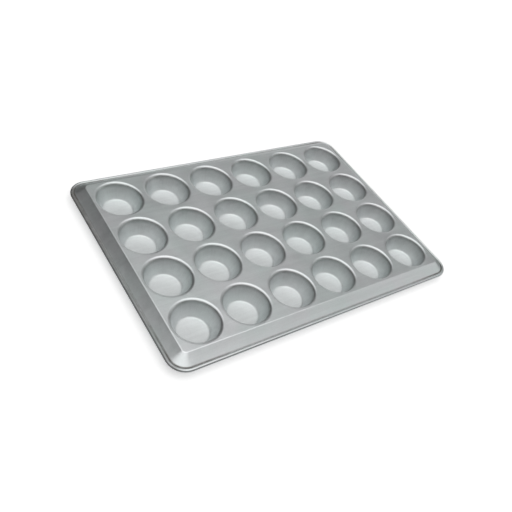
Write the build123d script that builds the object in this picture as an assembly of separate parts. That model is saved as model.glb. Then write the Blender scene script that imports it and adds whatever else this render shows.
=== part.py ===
from build123d import *

import os
from math import acos, asin, atan2, cos, degrees, hypot, radians, sin, sqrt, tan

# Baking pan with 24 round cups, pressed from one sheet of steel and stiffened by a wire in its rolled rim.
# Lengths are millimetres. X runs along the six cups of a row, Y across the four rows, and Z is up.
# The origin is the middle of the pan, on the surface that the undersides of the cups stand on.

# Sheet
sheet = 0.5

# Cups, and the flat web left between their mouths and round them
columns = 6
rows = 4
mouth_radius = 48.0
lip_radius = 6.5
cup_depth = 32.0
floor_radius = 27.0
floor_bend = 5.0
web_between_mouths = 5.6
web_round_mouths = 1.7

# Sloping wall round the web. Its run is seen from above, from the web's edge to the outside of the rim.
wall_run = 26.5
web_corner = 8.0
fold_radius = 3.0
flat_by_fold = 0.2

# Rolled rim and the wire inside it
wire_diameter = 5.2
wire_clearance = 0.05
wire_drop = 15.8
rim_corner = 34.0
groove_radius = 1.0
wall_under_wire = 1.0
curl_end_angle = -172.0

# One overrun serves every cut
overrun = 5.0

# The cups set the size of the web, and the web and the walls that of the whole pan.
cup_pitch = 2 * mouth_radius + web_between_mouths
fold_x = (columns - 1) * cup_pitch / 2 + mouth_radius + web_round_mouths
fold_y = (rows - 1) * cup_pitch / 2 + mouth_radius + web_round_mouths
pan_length = 2 * (fold_x + wall_run)
pan_width = 2 * (fold_y + wall_run)

# Heights
web_top = cup_depth + sheet
wire_height = web_top - wire_drop

# Section of the rim, worked out about the centre of the wire: u is outward, v is up.
wire_radius = wire_diameter / 2
bead_inside = wire_radius + wire_clearance
bead_radius = bead_inside + sheet
wire_x = pan_length / 2 - bead_radius
wire_y = pan_width / 2 - bead_radius
wire_corner = rim_corner - bead_radius

# The wall leaves the fold and passes under the wire, which sets its slope.
fold_u = bead_radius - wall_run
fold_reach = hypot(fold_u, wire_drop)
wall_slope = acos(-wall_under_wire / fold_reach) - atan2(-fold_u, wire_drop)

# The web is parted from the frame by a line just inside the fold, and then into one tile for each cup.
tile_inset = fold_radius * tan(wall_slope / 2) + flat_by_fold
tiles_x = fold_x - tile_inset
tiles_y = fold_y - tile_inset
tiles_corner = web_corner - tile_inset

# A small bend joins the wall's foot to the roll.
bend_off = groove_radius - wall_under_wire
bend_back = sqrt((bead_radius + groove_radius) ** 2 - bend_off**2)
bend_u = bend_off * sin(wall_slope) - bend_back * cos(wall_slope)
bend_v = bend_off * cos(wall_slope) + bend_back * sin(wall_slope)
foot_u = bend_u - groove_radius * sin(wall_slope)
foot_v = bend_v - groove_radius * cos(wall_slope)
foot_thickness = sheet / sin(wall_slope)
roll_start_angle = degrees(atan2(bend_v, bend_u))


def on_circle(centre_u, centre_v, radius, angle):
    """Point of a circle in the rim's section, on the X-Z plane."""
    turn = radians(angle)
    return (centre_u + radius * cos(turn), 0, centre_v + radius * sin(turn))


def arc(centre_u, centre_v, radius, start_angle, end_angle):
    """Arc in the rim's section, given by its centre, radius and two angles."""
    middle_angle = (start_angle + end_angle) / 2
    start = on_circle(centre_u, centre_v, radius, start_angle)
    middle = on_circle(centre_u, centre_v, radius, middle_angle)
    end = on_circle(centre_u, centre_v, radius, end_angle)
    return ThreePointArc(start, middle, end)


def roll_section():
    """The sheet's section from the foot of the wall, through the bend and round the wire."""
    wall_side = -90 - degrees(wall_slope)
    roll_side = roll_start_angle - 180
    upper_bend = arc(bend_u, bend_v, groove_radius, wall_side, roll_side)
    outer_roll = arc(0, 0, bead_radius, roll_start_angle, curl_end_angle)
    sheet_edge = Line(outer_roll @ 1, on_circle(0, 0, bead_inside, curl_end_angle))
    inner_roll = arc(0, 0, bead_inside, curl_end_angle, roll_start_angle)
    lower_bend = arc(bend_u, bend_v, groove_radius + sheet, roll_side, wall_side)
    wall_underside = Line(lower_bend @ 1, (foot_u - foot_thickness, 0, foot_v))
    wall_cut = Line(wall_underside @ 1, upper_bend @ 0)
    edges = [upper_bend, outer_roll, sheet_edge, inner_roll, lower_bend, wall_underside, wall_cut]
    return make_face(edges)


def wire_section():
    """The wire's round section, on the X-Z plane."""
    return Plane.XZ * Circle(wire_radius)


def ring(section):
    """A section carried round the rim: four straight sides and four quarter turns."""
    straight_x = 2 * (wire_x - wire_corner)
    straight_y = 2 * (wire_y - wire_corner)
    end_side = extrude(section, amount=straight_y / 2, both=True)
    long_side = extrude(section, amount=straight_x / 2, both=True)
    corner = revolve(Pos(wire_corner, 0, 0) * section, Axis.Z, 90)
    pieces = []
    for turn in (0, 180):
        pieces.append(Rot(0, 0, turn) * Pos(wire_x, 0, 0) * end_side)
        pieces.append(Rot(0, 0, turn + 90) * Pos(wire_y, 0, 0) * long_side)
    corner_x = wire_x - wire_corner
    corner_y = wire_y - wire_corner
    places = [(corner_x, corner_y, 0), (-corner_x, corner_y, 90)]
    places += [(-corner_x, -corner_y, 180), (corner_x, -corner_y, 270)]
    for x, y, turn in places:
        pieces.append(Pos(x, y, 0) * Rot(0, 0, turn) * corner)
    return Pos(0, 0, wire_height) * pieces[0].fuse(*pieces[1:])


def plate(half_x, half_y, corner, height):
    """Rounded rectangle at one height."""
    return Pos(0, 0, height) * RectangleRounded(2 * half_x, 2 * half_y, corner)


def hat(drawn_in, foot_drawn_in, top, bend):
    """Solid under the web and the sloping wall, drawn in from the sheet's upper side."""
    foot_x = wire_x + foot_u - foot_drawn_in
    foot_y = wire_y + foot_u - foot_drawn_in
    foot_corner = wire_corner + foot_u - foot_drawn_in
    upper = plate(fold_x - drawn_in, fold_y - drawn_in, web_corner - drawn_in, top)
    lower = plate(foot_x, foot_y, foot_corner, wire_height + foot_v)
    solid = loft([lower, upper], ruled=True)
    return fillet(solid.edges().group_by(Axis.Z)[-1], bend)


def cup_places():
    """Name and centre of every cup: row 1 is at +Y, column 1 at -X."""
    places = {}
    for row in range(rows):
        for column in range(columns):
            x = (column - (columns - 1) / 2) * cup_pitch
            y = ((rows - 1) / 2 - row) * cup_pitch
            places[f"cup_row_{row + 1}_column_{column + 1}"] = (x, y)
    return places


def web(spare):
    """The flat web inside the fold. What is spare makes it thicker both ways, for a cut."""
    outline = plate(tiles_x, tiles_y, tiles_corner, web_top - sheet - spare)
    return extrude(outline, amount=sheet + 2 * spare)


def pan_frame():
    """The fold round the web, the sloping wall and the rolled edge."""
    outer = hat(0, 0, web_top, fold_radius)
    inner = hat(sheet * tan(wall_slope / 2), foot_thickness, web_top - sheet, fold_radius - sheet)
    wall = outer - inner - web(overrun)
    return wall.fuse(ring(roll_section()))


def bowl():
    """One bowl: a rolled lip, a straight sloping side and a bend into a flat floor."""
    lip_height = web_top - lip_radius
    bend_height = sheet + floor_bend
    across = mouth_radius - floor_radius
    rise = lip_height - bend_height
    side_slope = atan2(rise, across) + asin((lip_radius + floor_bend) / hypot(across, rise))
    lip_end = 90 + degrees(side_slope)
    bend_start = degrees(side_slope) - 90
    upper_lip = arc(mouth_radius, lip_height, lip_radius, 90, lip_end)
    upper_bend = arc(floor_radius, bend_height, floor_bend, bend_start, -90)
    upper_side = Line(upper_lip @ 1, upper_bend @ 0)
    upper_floor = Line(upper_bend @ 1, (0, 0, sheet))
    middle = Line(upper_floor @ 1, (0, 0, 0))
    lower_bend = arc(floor_radius, bend_height, floor_bend + sheet, -90, bend_start)
    lower_floor = Line(middle @ 1, lower_bend @ 0)
    lower_lip = arc(mouth_radius, lip_height, lip_radius - sheet, lip_end, 90)
    lower_side = Line(lower_bend @ 1, lower_lip @ 0)
    mouth_edge = Line(lower_lip @ 1, upper_lip @ 0)
    upper_edges = [upper_lip, upper_side, upper_bend, upper_floor]
    lower_edges = [middle, lower_floor, lower_bend, lower_side, lower_lip, mouth_edge]
    return revolve(make_face(upper_edges + lower_edges), Axis.Z, 360)


def cup(x, y):
    """One cup: its tile of the web with the bowl hung in it."""
    cell = Box(cup_pitch, cup_pitch, 2 * (sheet + overrun))
    mouth = Cylinder(mouth_radius, 2 * (sheet + overrun))
    tile = (web(0) & Pos(x, y, web_top) * cell) - Pos(x, y, web_top) * mouth
    return tile.fuse(Pos(x, y, 0) * one_bowl)


def write(solid, name):
    """Write one named piece as its own file."""
    solid.label = name
    export_step(solid, f"parts/{name}.step")


os.makedirs("parts", exist_ok=True)
write(pan_frame(), "pan_frame")
write(ring(wire_section()), "rim_wire")
one_bowl = bowl()
for cup_name, (cup_x, cup_y) in cup_places().items():
    write(cup(cup_x, cup_y), cup_name)
overall = [round(length, 1) for length in (pan_length, pan_width, web_top)]
print("overall length, width and height:", overall)
print("slope of the wall below the web, in degrees:", round(degrees(wall_slope), 1))
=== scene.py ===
import math

import bmesh
import bpy
from mathutils import Matrix, Vector


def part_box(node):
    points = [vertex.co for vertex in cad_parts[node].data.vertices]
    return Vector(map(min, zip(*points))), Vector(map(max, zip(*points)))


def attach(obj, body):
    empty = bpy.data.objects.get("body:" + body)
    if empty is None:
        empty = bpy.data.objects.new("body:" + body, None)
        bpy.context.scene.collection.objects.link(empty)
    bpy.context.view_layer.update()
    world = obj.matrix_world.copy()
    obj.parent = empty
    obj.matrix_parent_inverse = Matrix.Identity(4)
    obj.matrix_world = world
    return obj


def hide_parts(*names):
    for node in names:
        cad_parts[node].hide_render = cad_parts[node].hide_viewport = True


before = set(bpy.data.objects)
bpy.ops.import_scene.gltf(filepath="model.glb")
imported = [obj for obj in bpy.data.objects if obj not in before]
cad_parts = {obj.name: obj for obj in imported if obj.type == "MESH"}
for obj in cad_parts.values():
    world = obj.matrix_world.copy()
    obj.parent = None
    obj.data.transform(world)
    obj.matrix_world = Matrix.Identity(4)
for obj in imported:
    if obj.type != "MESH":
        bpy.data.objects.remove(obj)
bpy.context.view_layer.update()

# Edge frame of the pan
# The real edge is part of the one pressed sheet: it folds down outside the cups into a sloping wall, and its
# free edge is rolled round a steel wire. It is satin aluminised steel, 0.5 mm thick.
mm = 0.001
frame_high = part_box("pan_frame")[1]
wire_low, wire_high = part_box("rim_wire")
web_top = frame_high.z
wire_height = (wire_low.z + wire_high.z) / 2
wire_radius = (wire_high.z - wire_low.z) / 2
wire_x = wire_high.x - wire_radius
wire_y = wire_high.y - wire_radius
roll_radius = frame_high.x - wire_x
roll_corner = 34.0 * mm - roll_radius
sheet_thickness = 0.5 * mm
fold_x = 303.7 * mm
fold_corner = 8.0 * mm
fold_radius = 3.0 * mm
flat_by_fold = 0.2 * mm
groove_radius = 1.0 * mm
wall_under_wire = 1.0 * mm
curl_end = math.radians(-172)

# The wall leaves the fold and passes under the wire, which gives its slope and the small bend at its foot.
web_rise = web_top - wire_height
fold_out = wire_x - fold_x
wall_slope = math.acos(-wall_under_wire / math.hypot(fold_out, web_rise)) - math.atan2(fold_out, web_rise)
fold_reach = fold_radius * math.tan(wall_slope / 2)
bend_off = groove_radius - wall_under_wire
bend_back = math.sqrt((roll_radius + groove_radius) ** 2 - bend_off**2)
bend_out = bend_off * math.sin(wall_slope) - bend_back * math.cos(wall_slope)
bend_up = bend_off * math.cos(wall_slope) + bend_back * math.sin(wall_slope)
roll_start = math.atan2(bend_up, bend_out)
foot_out = bend_out - groove_radius * math.sin(wall_slope)


def arc_points(centre_out, centre_up, radius, start, end, steps):
    """Points along an arc of a section, from the first angle to the last, both included."""
    turns = [start + (end - start) * step / steps for step in range(steps + 1)]
    return [(centre_out + radius * math.cos(turn), centre_up + radius * math.sin(turn)) for turn in turns]


# Section of the edge, outward and up from the middle of the wire, from the flat web to the end of the curl
upright = math.pi / 2
fold_steps = 6
bend_steps = 5
roll_steps = 44
fold_start = -fold_out - fold_reach
fold_middle = web_rise - fold_radius
bend_start = -upright - wall_slope
bend_end = roll_start - math.pi
section = [(fold_start - flat_by_fold, web_rise)]
section += arc_points(fold_start, fold_middle, fold_radius, upright, upright - wall_slope, fold_steps)
section += arc_points(bend_out, bend_up, groove_radius, bend_start, bend_end, bend_steps)
section += arc_points(0, 0, roll_radius, roll_start, curl_end, roll_steps)[1:]


def ring_size(out):
    """Half length, half width and corner radius of the ring that a point of the section draws."""
    share = min(max((out + fold_out) / (foot_out + fold_out), 0), 1)
    corner = fold_corner + share * (roll_corner + foot_out - fold_corner)
    if out > foot_out or share == 1:
        corner = roll_corner + out
    if out < -fold_out:
        corner = fold_corner + fold_out + out
    return wire_x + out, wire_y + out, corner


corner_steps = 12


def round_corners(bm, corners, radius):
    """Rounds the given corner vertices of a flat face."""
    bmesh.ops.bevel(
        bm,
        geom=corners,
        offset=radius,
        offset_type="OFFSET",
        affect="VERTICES",
        segments=corner_steps,
        profile=0.5,
        material=-1,
    )


smooth_below = math.radians(35)


def finished_sheet(bm, name):
    """Gives an upper surface the sheet's thickness and makes it an object with crisp cut edges."""
    bmesh.ops.recalc_face_normals(bm, faces=bm.faces)
    highest = max(bm.faces, key=lambda face: face.calc_center_median().z)
    if highest.normal.z < 0:
        bmesh.ops.reverse_faces(bm, faces=bm.faces)
    bmesh.ops.solidify(bm, geom=bm.faces, thickness=sheet_thickness)
    mesh = bpy.data.meshes.new(name)
    bm.to_mesh(mesh)
    bm.free()
    mesh.shade_smooth()
    mesh.set_sharp_from_angle(angle=smooth_below)
    piece = bpy.data.objects.new(name, mesh)
    bpy.context.collection.objects.link(piece)
    return piece


# The edge starts as the rounded outline of the web, whose four long sides are cut into shorter edges, and is
# drawn outward, one point of the section at a time.
side_cuts = 31
shortest_side = 100 * mm
bm = bmesh.new()
half_x, half_y, corner = ring_size(section[0][0])
bmesh.ops.create_grid(bm, x_segments=1, y_segments=1, size=1)
bmesh.ops.scale(bm, vec=(half_x, half_y, 1), verts=bm.verts)
bmesh.ops.translate(bm, vec=(0, 0, web_top), verts=bm.verts)
round_corners(bm, bm.verts[:], corner)
bmesh.ops.delete(bm, geom=bm.faces[:], context="FACES_ONLY")
sides = [edge for edge in bm.edges if edge.calc_length() > shortest_side]
bmesh.ops.subdivide_edges(bm, edges=sides, cuts=side_cuts)
open_edges = bm.edges[:]
for out, up in section[1:]:
    next_x, next_y, next_corner = ring_size(out)
    made = bmesh.ops.extrude_edge_only(bm, edges=open_edges)["geom"]
    open_edges = [item for item in made if isinstance(item, bmesh.types.BMEdge) and item.is_boundary]
    for vert in {vert for edge in open_edges for vert in edge.verts}:
        along_x = min(max(vert.co.x / (half_x - corner), -1), 1)
        along_y = min(max(vert.co.y / (half_y - corner), -1), 1)
        outward = Vector((vert.co.x - along_x * (half_x - corner), vert.co.y - along_y * (half_y - corner)))
        outward.normalize()
        vert.co.x = along_x * (next_x - next_corner) + outward.x * next_corner
        vert.co.y = along_y * (next_y - next_corner) + outward.y * next_corner
        vert.co.z = wire_height + up
    half_x, half_y, corner = next_x, next_y, next_corner
pan_edge = finished_sheet(bm, "pan_edge")


def add_node(tree, kind, settings=None, **inputs):
    """Adds a shader node, sets it up, and links or sets its inputs by name."""
    made = tree.nodes.new(kind)
    for setting, value in (settings or {}).items():
        setattr(made, setting, value)
    for name, value in inputs.items():
        socket = made.inputs[name.replace("_", " ")]
        if isinstance(value, bpy.types.NodeSocket):
            tree.links.new(value, socket)
        else:
            socket.default_value = value
    return made


def add_math(tree, operation, first, second=0.0):
    """Adds a maths node on two numbers or sockets and gives its result."""
    made = tree.nodes.new("ShaderNodeMath")
    made.operation = operation
    for socket, value in zip(made.inputs, (first, second)):
        if isinstance(value, bpy.types.NodeSocket):
            tree.links.new(value, socket)
        else:
            socket.default_value = value
    return made.outputs["Value"]


def spread(tree, value, low, high, to_low=0.0, to_high=1.0, interpolation="LINEAR"):
    """Stretches a range of a value to a new range, without going beyond it."""
    made = add_node(tree, "ShaderNodeMapRange", {"interpolation_type": interpolation}, Value=value)
    made.inputs["From Min"].default_value = low
    made.inputs["From Max"].default_value = high
    made.inputs["To Min"].default_value = to_low
    made.inputs["To Max"].default_value = to_high
    return made.outputs["Result"]


def band(tree, value, middle, half_width):
    """A soft band: one where the value is at the middle, zero from the half width on."""
    off = add_math(tree, "ABSOLUTE", add_math(tree, "SUBTRACT", value, middle))
    return spread(tree, off, 0.0, half_width, 1.0, 0.0, "SMOOTHSTEP")


def mix_colors(tree, share, first, second):
    """Mixes two colours, each a socket or a value."""
    made = add_node(tree, "ShaderNodeMix", {"data_type": "RGBA"})
    for name, value in (("Factor", share), ("A", first), ("B", second)):
        socket = next(item for item in made.inputs if item.name == name and item.enabled)
        if isinstance(value, bpy.types.NodeSocket):
            tree.links.new(value, socket)
        else:
            socket.default_value = value
    return next(item for item in made.outputs if item.enabled)


def new_group(name, inputs, outputs):
    """Starts a shader node group with named inputs and outputs, and gives it with its two end nodes."""
    tree = bpy.data.node_groups.new(name, "ShaderNodeTree")
    for socket_name, kind, value in inputs:
        socket = tree.interface.new_socket(socket_name, in_out="INPUT", socket_type=f"NodeSocket{kind}")
        if value is not None:
            socket.default_value = value
    for socket_name, kind in outputs:
        tree.interface.new_socket(socket_name, in_out="OUTPUT", socket_type=f"NodeSocket{kind}")
    return tree, tree.nodes.new("NodeGroupInput"), tree.nodes.new("NodeGroupOutput")


def place_group(tree, group, **inputs):
    """Places a node group in a material and sets or links its inputs."""
    return add_node(tree, "ShaderNodeGroup", {"node_tree": group}, **inputs)


def rolled_grain_group():
    """Fine streaks along one direction, as cold rolling and drawing leave in steel."""
    inputs = [("Place", "Vector", None), ("Stretch", "Vector", (1, 1, 1)), ("Fineness", "Float", 1000)]
    tree, start, end = new_group("rolled_grain", inputs, [("Streaks", "Float"), ("Height", "Float")])
    stretched = add_node(tree, "ShaderNodeVectorMath", {"operation": "MULTIPLY"})
    tree.links.new(start.outputs["Place"], stretched.inputs[0])
    tree.links.new(start.outputs["Stretch"], stretched.inputs[1])
    place = stretched.outputs["Vector"]
    fineness = start.outputs["Fineness"]
    fine = add_node(tree, "ShaderNodeTexNoise", Vector=place, Scale=fineness, Detail=3.0, Roughness=0.6)
    coarse_scale = add_math(tree, "MULTIPLY", fineness, 0.12)
    coarse = add_node(tree, "ShaderNodeTexNoise", Vector=place, Scale=coarse_scale, Detail=2.0, Roughness=0.5)
    both = add_math(tree, "MULTIPLY", fine.outputs["Fac"], coarse.outputs["Fac"])
    tree.links.new(spread(tree, both, 0.12, 0.38), end.inputs["Streaks"])
    tree.links.new(fine.outputs["Fac"], end.inputs["Height"])
    return tree


def soft_patches_group():
    """Broad soft patches, which tint the coating and make a thin sheet's reflections wander."""
    inputs = [("Place", "Vector", None), ("Size", "Float", 0.06)]
    tree, start, end = new_group("soft_patches", inputs, [("Patches", "Float"), ("Other Patches", "Float")])
    place = start.outputs["Place"]
    scale = add_math(tree, "DIVIDE", 1.0, start.outputs["Size"])
    first = add_node(tree, "ShaderNodeTexNoise", Vector=place, Scale=scale, Detail=2.0, Roughness=0.45)
    moved = add_node(tree, "ShaderNodeMapping", Vector=place, Location=(3.1, 1.7, 0.4)).outputs["Vector"]
    second = add_node(tree, "ShaderNodeTexNoise", Vector=moved, Scale=scale, Detail=3.0, Roughness=0.5)
    for noise, name in ((first, "Patches"), (second, "Other Patches")):
        tree.links.new(spread(tree, noise.outputs["Fac"], 0.32, 0.68), end.inputs[name])
    return tree


def hairline_scratches_group():
    """Sparse hairline scratches that run a few ways, as racks and brushes leave on a pan."""
    inputs = [("Place", "Vector", None), ("Amount", "Float", 0.5)]
    tree, start, end = new_group("hairline_scratches", inputs, [("Scratches", "Float")])
    place = start.outputs["Place"]
    total = 0.0
    for turn, shift in ((0.3, 0.0), (1.2, 5.3), (2.4, 9.1)):
        turned = add_node(tree, "ShaderNodeMapping", Vector=place, Location=(shift, shift, 0))
        turned.inputs["Rotation"].default_value = (0, 0, turn)
        turned.inputs["Scale"].default_value = (9, 420, 420)
        noise = add_node(tree, "ShaderNodeTexNoise", Vector=turned.outputs["Vector"], Scale=4.0, Detail=1.0)
        total = add_math(tree, "MAXIMUM", total, spread(tree, noise.outputs["Fac"], 0.68, 0.73))
    gaps = add_node(tree, "ShaderNodeTexNoise", Vector=place, Scale=35.0, Detail=1.0)
    broken = add_math(tree, "MULTIPLY", total, spread(tree, gaps.outputs["Fac"], 0.5, 0.65))
    tree.links.new(add_math(tree, "MULTIPLY", broken, start.outputs["Amount"]), end.inputs["Scratches"])
    return tree


# Two faint tints of the coating, its colour where rubbed and painted highlit, where matt, and of painted
# shade
coating_blue = (0.785, 0.80, 0.81, 1)
coating_green = (0.752, 0.812, 0.802, 1)
coating_rubbed_highlit = (0.86, 0.88, 0.89, 1)
coating_matt = (0.845, 0.867, 0.867, 1)
painted_shade_tint = (0.13, 0.115, 0.10, 1)

# Surface of the coated sheet: its roughness from patch to patch, and the sizes of patches, waves and grain
smoothest = 0.335
roughest = 0.385
patch_size = 55 * mm
wave_height = 1.2 * mm
grain_height = 0.03 * mm
grain_fineness = 1400.0
spangle_fineness = 450.0
sheet_marks = ("Rub And Highlight", "Painted Shade", "Lines", "Matt")


def satin_sheet_group():
    """Colour, roughness and surface of the coated sheet, brighter where rubbed and highlit, browner where
    shade is painted.
    """
    inputs = [("Place", "Vector", None)] + [(mark, "Float", 0.0) for mark in sheet_marks]
    outputs = [("Color", "Color"), ("Roughness", "Float"), ("Normal", "Vector")]
    tree, start, end = new_group("satin_sheet", inputs, outputs)
    place = start.outputs["Place"]
    rub_and_highlight, painted_shade, lines, matt = (start.outputs[mark] for mark in sheet_marks)
    patches = place_group(tree, soft_patches, Place=place, Size=patch_size)
    grain = place_group(tree, rolled_grain, Place=place, Stretch=(0.03, 1, 1), Fineness=grain_fineness)
    scratches = place_group(tree, hairline_scratches, Place=place, Amount=0.5).outputs["Scratches"]
    spangle = add_node(tree, "ShaderNodeTexVoronoi", Vector=place, Scale=spangle_fineness)
    wander = patches.outputs["Other Patches"]
    streaks = grain.outputs["Streaks"]

    tint = mix_colors(tree, patches.outputs["Patches"], coating_blue, coating_green)
    # Rubbed places are lighter: partly real wear, partly a painted highlight.
    tint = mix_colors(tree, add_math(tree, "MULTIPLY", rub_and_highlight, 0.4), tint, coating_rubbed_highlit)
    tint = mix_colors(tree, add_math(tree, "MULTIPLY", matt, 0.5), tint, coating_matt)
    # Painted shade: a dark brown mixed into the colour.
    tint = mix_colors(tree, painted_shade, tint, painted_shade_tint)
    streak_tone = spread(tree, streaks, 0.0, 1.0, 0.95, 1.02)
    spangle_tone = spread(tree, spangle.outputs["Color"], 0.0, 1.0, 0.98, 1.02)
    line_tone = spread(tree, lines, 0.0, 1.0, 1.0, 0.93)
    tone = add_math(tree, "MULTIPLY", add_math(tree, "MULTIPLY", streak_tone, spangle_tone), line_tone)
    toned = add_node(tree, "ShaderNodeVectorMath", {"operation": "SCALE"})
    tree.links.new(tint, toned.inputs[0])
    tree.links.new(tone, toned.inputs["Scale"])
    tree.links.new(toned.outputs["Vector"], end.inputs["Color"])

    rough = spread(tree, wander, 0.0, 1.0, smoothest, roughest)
    rougher_by = ((streaks, 0.03), (scratches, 0.08), (lines, 0.04))
    rougher_by += ((rub_and_highlight, -0.03), (painted_shade, 0.25), (matt, 0.09))
    for mark, amount in rougher_by:
        rough = add_math(tree, "ADD", rough, add_math(tree, "MULTIPLY", mark, amount))
    tree.links.new(rough, end.inputs["Roughness"])

    broad = add_node(tree, "ShaderNodeBump", Strength=0.22, Distance=wave_height, Height=wander)
    height = add_math(tree, "SUBTRACT", grain.outputs["Height"], add_math(tree, "ADD", scratches, lines))
    fine = add_node(tree, "ShaderNodeBump", Strength=0.12, Distance=grain_height, Height=height)
    tree.links.new(broad.outputs["Normal"], fine.inputs["Normal"])
    tree.links.new(fine.outputs["Normal"], end.inputs["Normal"])
    return tree


def sheet_steel_material(name, marks):
    """Satin aluminised steel sheet, with the marks of the piece that it is on."""
    material = bpy.data.materials.new(name)
    material.use_nodes = True
    tree = material.node_tree
    shader = tree.nodes["Principled BSDF"]
    shader.inputs["Metallic"].default_value = 1.0
    place = tree.nodes.new("ShaderNodeTexCoord").outputs["Object"]
    found = place_group(tree, marks, Place=place)
    sheet = place_group(tree, satin_sheet, Place=place)
    for mark in sheet_marks:
        tree.links.new(found.outputs[mark], sheet.inputs[mark])
    tree.links.new(sheet.outputs["Color"], shader.inputs["Base Color"])
    tree.links.new(sheet.outputs["Roughness"], shader.inputs["Roughness"])
    tree.links.new(sheet.outputs["Normal"], shader.inputs["Normal"])
    return material


def new_marks_group(name):
    """Starts the group that gives a piece's marks from the place on it."""
    return new_group(name, [("Place", "Vector", None)], [(mark, "Float") for mark in sheet_marks])


# Edge marks: half widths of the rub and highlight on the fold and of painted shade in the groove, and where
# marks fade out
fold_rub_highlight = 3.0 * mm
groove_shade_width = 2.4 * mm
groove_shade_inward = 0.2 * mm
groove_shade_fade = 0.5 * mm
corner_shade_reach = 80 * mm
left_shade_edge = 1.0 * mm
left_shade_end = 20 * mm
left_shade_full = 5 * mm


def edge_marks_group():
    """A rub and painted highlight on fold and roll, painted shade in the groove beside it and on the left
    roll.
    """
    tree, start, end = new_marks_group("edge_marks")
    place = start.outputs["Place"]
    parts = add_node(tree, "ShaderNodeSeparateXYZ", Vector=place)
    x, y, z = (parts.outputs[axis] for axis in "XYZ")
    uneven = add_node(tree, "ShaderNodeTexNoise", Vector=place, Scale=90.0, Detail=3.0).outputs["Fac"]

    # How far a place is out from the middle line of the wire, with the line's rounded corners
    beyond_x = add_math(tree, "SUBTRACT", add_math(tree, "ABSOLUTE", x), wire_x - roll_corner)
    beyond_y = add_math(tree, "SUBTRACT", add_math(tree, "ABSOLUTE", y), wire_y - roll_corner)
    corner_x = add_math(tree, "MAXIMUM", beyond_x, 0.0)
    corner_y = add_math(tree, "MAXIMUM", beyond_y, 0.0)
    square_x = add_math(tree, "MULTIPLY", corner_x, corner_x)
    square_y = add_math(tree, "MULTIPLY", corner_y, corner_y)
    from_corner = add_math(tree, "SQRT", add_math(tree, "ADD", square_x, square_y))
    inside = add_math(tree, "MINIMUM", add_math(tree, "MAXIMUM", beyond_x, beyond_y), 0.0)
    out = add_math(tree, "SUBTRACT", add_math(tree, "ADD", from_corner, inside), roll_corner)

    # A real rub that also paints a highlight along the fold and the top of the roll.
    fold = band(tree, out, -fold_out, fold_rub_highlight)
    fold = add_math(tree, "MULTIPLY", fold, spread(tree, uneven, 0.2, 0.6, 0.4, 1.0))
    above = spread(tree, z, wire_height, wire_height + roll_radius)
    roll = add_math(tree, "MULTIPLY", band(tree, out, 0.0, roll_radius), above)
    rub_and_highlight = add_math(tree, "MAXIMUM", fold, add_math(tree, "MULTIPLY", roll, 0.6))

    # Painted shade in the groove beside the roll, darker towards the corners.
    above_groove = spread(tree, z, wire_height, wire_height + groove_shade_fade)
    groove_shade = band(tree, out, bend_out - groove_shade_inward, groove_shade_width)
    groove_shade = add_math(tree, "MULTIPLY", groove_shade, above_groove)
    near_corner = spread(tree, add_math(tree, "MINIMUM", beyond_x, beyond_y), -corner_shade_reach, 0.0, 0.45, 1.0)
    groove_shade = add_math(tree, "MULTIPLY", groove_shade, near_corner)
    painted_shade = add_math(tree, "MULTIPLY", groove_shade, spread(tree, uneven, 0.25, 0.65, 0.65, 1.0))

    # Painted shade along the left roll, darker towards the back.
    on_roll = spread(tree, out, -roll_radius - left_shade_edge, -roll_radius + left_shade_edge)
    on_left = spread(tree, x, -wire_x + left_shade_end, -wire_x + left_shade_full)
    left_roll_shade = add_math(tree, "MULTIPLY", on_roll, on_left)
    left_roll_shade = add_math(tree, "MULTIPLY", left_roll_shade, spread(tree, uneven, 0.3, 0.6, 0.8, 1.0))
    left_roll_shade = add_math(tree, "MULTIPLY", left_roll_shade, spread(tree, y, -wire_y, wire_y, 0.42, 0.72))
    painted_shade = add_math(tree, "MAXIMUM", painted_shade, left_roll_shade)

    tree.links.new(rub_and_highlight, end.inputs["Rub And Highlight"])
    tree.links.new(painted_shade, end.inputs["Painted Shade"])
    return tree


rolled_grain = rolled_grain_group()
soft_patches = soft_patches_group()
hairline_scratches = hairline_scratches_group()
satin_sheet = satin_sheet_group()
pan_edge.data.materials.append(sheet_steel_material("edge_steel", edge_marks_group()))

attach(pan_edge, "root")
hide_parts("pan_frame")

# Cups
# On the real pan the cups are drawn out of the same sheet, in four rows of six. Each has a lip rolled over
# from the flat web, a straight sloping side and a flat floor. Here each cup brings its own tile of the web.
columns = 6
rows = 4
cup_pitch = 101.6 * mm
mouth_radius = 48.0 * mm
lip_radius = 6.5 * mm
floor_radius = 27.0 * mm
floor_bend = 5.0 * mm
flat_round_mouth = 0.3 * mm
round_steps = 72
floor_bend_steps = 7
lip_steps = 9
tile_cuts = 9
tiles_x, tiles_y, tiles_corner = ring_size(section[0][0])

# Half the section of a cup, from the middle of its floor out to the flat round its mouth
lip_height = web_top - lip_radius
bend_height = sheet_thickness + floor_bend
side_across = mouth_radius - floor_radius
side_rise = lip_height - bend_height
side_slope = math.atan2(side_rise, side_across)
side_slope += math.asin((lip_radius + floor_bend) / math.hypot(side_across, side_rise))
side_foot = side_slope - upright
side_top = side_slope + upright
cup_section = [(0, sheet_thickness), (floor_radius / 2, sheet_thickness)]
cup_section += arc_points(floor_radius, bend_height, floor_bend, -upright, side_foot, floor_bend_steps)
cup_section += arc_points(mouth_radius, lip_height, lip_radius, side_top, upright, lip_steps)
cup_section += [(mouth_radius + flat_round_mouth, web_top)]


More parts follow.
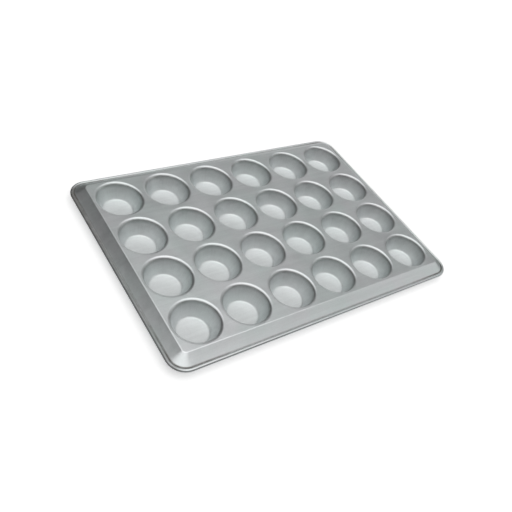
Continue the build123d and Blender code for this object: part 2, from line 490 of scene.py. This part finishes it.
def cup_piece(name, x, y):
    """One cup and its tile of the web, with the tile's outer corner rounded where it is the pan's corner."""
    # The bowl is the section, spun round the middle of the cup.
    bm = bmesh.new()
    chain = [bm.verts.new((x + out, y, up)) for out, up in cup_section]
    edges = [bm.edges.new(pair) for pair in zip(chain, chain[1:])]
    bmesh.ops.spin(
        bm,
        geom=chain + edges,
        cent=(x, y, 0),
        axis=(0, 0, 1),
        dvec=(0, 0, 0),
        angle=2 * math.pi,
        steps=round_steps,
        use_merge=True,
    )
    bmesh.ops.remove_doubles(bm, verts=bm.verts, dist=0.001 * mm)
    mouth_edges = [edge for edge in bm.edges if edge.is_boundary]

    # The tile is one cell of the web, kept inside the fold, and its outline is joined to the mouth.
    tile = bmesh.ops.create_grid(bm, x_segments=1, y_segments=1, size=cup_pitch / 2)["verts"]
    bmesh.ops.translate(bm, vec=(x, y, web_top), verts=tile)
    pan_corners = []
    for vert in tile:
        if abs(vert.co.x) > tiles_x and abs(vert.co.y) > tiles_y:
            pan_corners.append(vert)
        vert.co.x = min(max(vert.co.x, -tiles_x), tiles_x)
        vert.co.y = min(max(vert.co.y, -tiles_y), tiles_y)
    tile_face = tile[0].link_faces[0]
    if pan_corners:
        round_corners(bm, pan_corners, tiles_corner)
        # Rounding makes the face anew, and it is still by far the largest.
        tile_face = max(bm.faces, key=lambda face: face.calc_area())
    tile_edges = list(tile_face.edges)
    bmesh.ops.delete(bm, geom=[tile_face], context="FACES_ONLY")
    long_edges = [edge for edge in tile_edges if edge.calc_length() > cup_pitch / 3]
    bmesh.ops.subdivide_edges(bm, edges=long_edges, cuts=tile_cuts)
    tile_edges = {edge for edge in bm.edges if edge.is_wire}
    bmesh.ops.triangle_fill(bm, edges=mouth_edges + list(tile_edges), use_beauty=True)
    return finished_sheet(bm, name)


# Cup marks, with painted highlight and shade: how far in from the mouth they lie, their half widths, and
# where the matt inside begins
lip_rub_highlight_in = 1.8 * mm
lip_rub_highlight = 3.2 * mm
lip_shade_in = 5.2 * mm
lip_shade_width = 3.0 * mm
bend_shade_width = 3.0 * mm
drawn_lines = 9.0 * mm
matt_begins_in = 6 * mm
matt_full_in = 9 * mm
floor_matt_begins = floor_radius + 2 * mm
floor_matt_full = floor_radius - 4 * mm


def cup_marks_group():
    """A rub and painted highlight on the lip, painted shade under it and round the floor, lines down the
    side, a matt inside.
    """
    tree, start, end = new_marks_group("cup_marks")
    place = start.outputs["Place"]
    uneven = add_node(tree, "ShaderNodeTexNoise", Vector=place, Scale=60.0, Detail=3.0).outputs["Fac"]

    # Rows and columns are even in number, so the cups' middles lie half a pitch beside the whole pitches.
    parts = add_node(tree, "ShaderNodeSeparateXYZ", Vector=place)
    from_middle = []
    for axis in ("X", "Y"):
        share = add_math(tree, "FRACT", add_math(tree, "DIVIDE", parts.outputs[axis], cup_pitch))
        from_middle.append(add_math(tree, "MULTIPLY", add_math(tree, "SUBTRACT", share, 0.5), cup_pitch))
    across = add_node(tree, "ShaderNodeCombineXYZ", X=from_middle[0], Y=from_middle[1]).outputs["Vector"]
    radius = add_node(tree, "ShaderNodeVectorMath", {"operation": "LENGTH"})
    tree.links.new(across, radius.inputs[0])
    radius = radius.outputs["Value"]
    way = add_node(tree, "ShaderNodeVectorMath", {"operation": "NORMALIZE"})
    tree.links.new(across, way.inputs[0])

    # A real rub on the lip that also paints a highlight there.
    lip = band(tree, radius, mouth_radius - lip_rub_highlight_in, lip_rub_highlight)
    rub_and_highlight = add_math(tree, "MULTIPLY", lip, spread(tree, uneven, 0.2, 0.6, 0.5, 1.0))

    # Painted shade round the bend to the floor and under the lip.
    bend_shade = band(tree, radius, floor_radius + 0.7 * floor_bend, bend_shade_width)
    painted_shade = add_math(tree, "MULTIPLY", bend_shade, spread(tree, uneven, 0.35, 0.75, 0.0, 0.06))
    under_lip_shade = band(tree, radius, mouth_radius - lip_shade_in, lip_shade_width)
    under_lip_shade = add_math(tree, "MULTIPLY", under_lip_shade, spread(tree, uneven, 0.3, 0.7, 0.2, 0.38))
    painted_shade = add_math(tree, "MAXIMUM", painted_shade, under_lip_shade)

    drawn = band(tree, radius, (mouth_radius + floor_radius) / 2, drawn_lines)
    streaks = add_node(tree, "ShaderNodeTexNoise", Vector=way.outputs["Vector"], Scale=38.0, Detail=3.0)
    lines = add_math(tree, "MULTIPLY", drawn, spread(tree, streaks.outputs["Fac"], 0.45, 0.7))

    inside_lip = spread(tree, radius, mouth_radius - matt_begins_in, mouth_radius - matt_full_in)
    on_floor = spread(tree, radius, floor_matt_begins, floor_matt_full, 0.0, 0.8)
    matt = add_math(tree, "ADD", inside_lip, on_floor)

    tree.links.new(rub_and_highlight, end.inputs["Rub And Highlight"])
    tree.links.new(painted_shade, end.inputs["Painted Shade"])
    tree.links.new(lines, end.inputs["Lines"])
    tree.links.new(matt, end.inputs["Matt"])
    return tree


cup_steel = sheet_steel_material("cup_steel", cup_marks_group())

for row in range(rows):
    for column in range(columns):
        node = f"cup_row_{row + 1}_column_{column + 1}"
        cup_x = (column - (columns - 1) / 2) * cup_pitch
        cup_y = ((rows - 1) / 2 - row) * cup_pitch
        piece = cup_piece(f"drawn_{node}", cup_x, cup_y)
        piece.data.materials.append(cup_steel)
        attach(piece, "root")
        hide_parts(node)

# Rim wire
# A closed loop of drawn steel wire inside the roll stiffens the edge. It shows only from below, in the narrow
# gap where the curl ends under the wall. Its bare steel is darker than the sheet's coating, with fine lines.
wire_grey = (0.42, 0.42, 0.41, 1)
wire_bright = (0.52, 0.53, 0.53, 1)
wire_steel = bpy.data.materials.new("wire_steel")
wire_steel.use_nodes = True
wire_tree = wire_steel.node_tree
wire_shader = wire_tree.nodes["Principled BSDF"]
wire_place = wire_tree.nodes.new("ShaderNodeTexCoord").outputs["Object"]
wire_grain = place_group(wire_tree, rolled_grain, Place=wire_place, Stretch=(0.2, 0.2, 1), Fineness=2500.0)
wire_streaks = wire_grain.outputs["Streaks"]
wire_tint = mix_colors(wire_tree, wire_streaks, wire_grey, wire_bright)
wire_tree.links.new(wire_tint, wire_shader.inputs["Base Color"])
wire_shader.inputs["Metallic"].default_value = 1.0
wire_tree.links.new(spread(wire_tree, wire_streaks, 0.0, 1.0, 0.22, 0.4), wire_shader.inputs["Roughness"])
rim_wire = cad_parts["rim_wire"]
rim_wire.data.materials.clear()
rim_wire.data.materials.append(wire_steel)

# Floor
# A plain pale floor just under the pan. Views from below see through it, and so does the steel, which mirrors
# the dimmer ground of the room instead.
floor_size = 14000 * mm
floor_gap = 0.1 * mm
floor_glow = 0.45
floor_color = (0.93, 0.93, 0.93, 1)
white = (1, 1, 1, 1)
bm = bmesh.new()
bmesh.ops.create_grid(bm, x_segments=1, y_segments=1, size=floor_size / 2)
bmesh.ops.translate(bm, vec=(0, 0, -floor_gap), verts=bm.verts)
floor_mesh = bpy.data.meshes.new("floor")
bm.to_mesh(floor_mesh)
bm.free()
floor = bpy.data.objects.new("floor", floor_mesh)
bpy.context.collection.objects.link(floor)
floor_paint = bpy.data.materials.new("floor_paint")
floor_paint.use_nodes = True
floor_tree = floor_paint.node_tree
floor_shader = floor_tree.nodes["Principled BSDF"]
floor_shader.inputs["Base Color"].default_value = floor_color
floor_shader.inputs["Roughness"].default_value = 0.9
floor_shader.inputs["Specular IOR Level"].default_value = 0.2
floor_shader.inputs["Emission Color"].default_value = white
floor_shader.inputs["Emission Strength"].default_value = floor_glow
floor_back = floor_tree.nodes.new("ShaderNodeNewGeometry").outputs["Backfacing"]
floor_mirrored = floor_tree.nodes.new("ShaderNodeLightPath").outputs["Is Glossy Ray"]
floor_hidden = add_math(floor_tree, "MAXIMUM", floor_back, floor_mirrored)
floor_clear = floor_tree.nodes.new("ShaderNodeBsdfTransparent")
floor_mix = floor_tree.nodes.new("ShaderNodeMixShader")
floor_tree.links.new(floor_hidden, floor_mix.inputs["Fac"])
floor_tree.links.new(floor_shader.outputs["BSDF"], floor_mix.inputs[1])
floor_tree.links.new(floor_clear.outputs["BSDF"], floor_mix.inputs[2])
floor_tree.links.new(floor_mix.outputs["Shader"], floor_tree.nodes["Material Output"].inputs["Surface"])
floor_mesh.materials.append(floor_paint)

# Camera
# It looks down on the near left corner at the photograph's angle, turned a little about its own axis.
camera_azimuth = math.radians(-48.212)
camera_elevation = math.radians(43.82)
camera_roll = math.radians(21.737)
camera_distance = 1137.941 * mm
camera_aim = Vector((-74.453 * mm, -61.722 * mm, web_top))
focal_pixels = 606.658
picture_width = 512
backward = Vector(
    (
        math.sin(camera_azimuth) * math.cos(camera_elevation),
        -math.cos(camera_azimuth) * math.cos(camera_elevation),
        math.sin(camera_elevation),
    )
)
camera_right = Vector((0, 0, 1)).cross(backward).normalized()
camera_up = backward.cross(camera_right)
turn = Matrix.Rotation(-camera_roll, 3, -backward)
camera_axes = Matrix((turn @ camera_right, turn @ camera_up, backward)).transposed()
camera_data = bpy.data.cameras.new("camera")
camera_data.lens = camera_data.sensor_width * focal_pixels / picture_width
camera = bpy.data.objects.new("camera", camera_data)
camera.matrix_world = Matrix.Translation(camera_aim + backward * camera_distance) @ camera_axes.to_4x4()
bpy.context.collection.objects.link(camera)
bpy.context.scene.camera = camera

# Light
# A dim room, darkest to the left, has one broad soft panel overhead, a pale backdrop low on the far side, a
# weaker panel to the right, and light from the ground. The steel mirrors it all, and that shades the cups.
far_way = Vector((-backward.x, -backward.y, 0)).normalized()
right_way = Vector((far_way.y, -far_way.x, 0))
room_light = 0.13
least_light = 0.03

# The middle of each panel, how many degrees round it are even, where its soft edge ends, and how much it adds
panels = [
    (Vector((0, 0, 1)) - 0.1 * far_way + 0.03 * right_way, 27, 54, 1.14),
    (far_way + Vector((0, 0, 0.1)), 10, 37, 0.5),
    (right_way + 0.42 * far_way + Vector((0, 0, 0.37)), 8, 32, 0.57),
    (Vector((0, 0, 0.95)) - right_way + 0.15 * far_way, 12, 46, -0.09),
    (Vector((0, 0, -1)), 25, 85, 0.42),
]
world = bpy.data.worlds.new("studio")
world.use_nodes = True
bpy.context.scene.world = world
sky_tree = world.node_tree
sky_way = sky_tree.nodes.new("ShaderNodeTexCoord").outputs["Generated"]
light = room_light
for middle, core, edge, gain in panels:
    facing = add_node(sky_tree, "ShaderNodeVectorMath", {"operation": "DOT_PRODUCT"})
    sky_tree.links.new(sky_way, facing.inputs[0])
    facing.inputs[1].default_value = middle.normalized()
    widest = math.cos(math.radians(edge))
    narrowest = math.cos(math.radians(core))
    soft = spread(sky_tree, facing.outputs["Value"], widest, narrowest, 0.0, gain, "SMOOTHSTEP")
    light = add_math(sky_tree, "ADD", light, soft)
light = add_math(sky_tree, "MAXIMUM", light, least_light)
seen = sky_tree.nodes.new("ShaderNodeLightPath").outputs["Is Camera Ray"]
shown = add_node(sky_tree, "ShaderNodeMix", {"data_type": "FLOAT"}, Factor=seen, A=light, B=1.0)
sky_tree.links.new(shown.outputs["Result"], sky_tree.nodes["Background"].inputs["Strength"])
sky_tree.nodes["Background"].inputs["Color"].default_value = white
bpy.context.scene.view_settings.view_transform = "Standard"
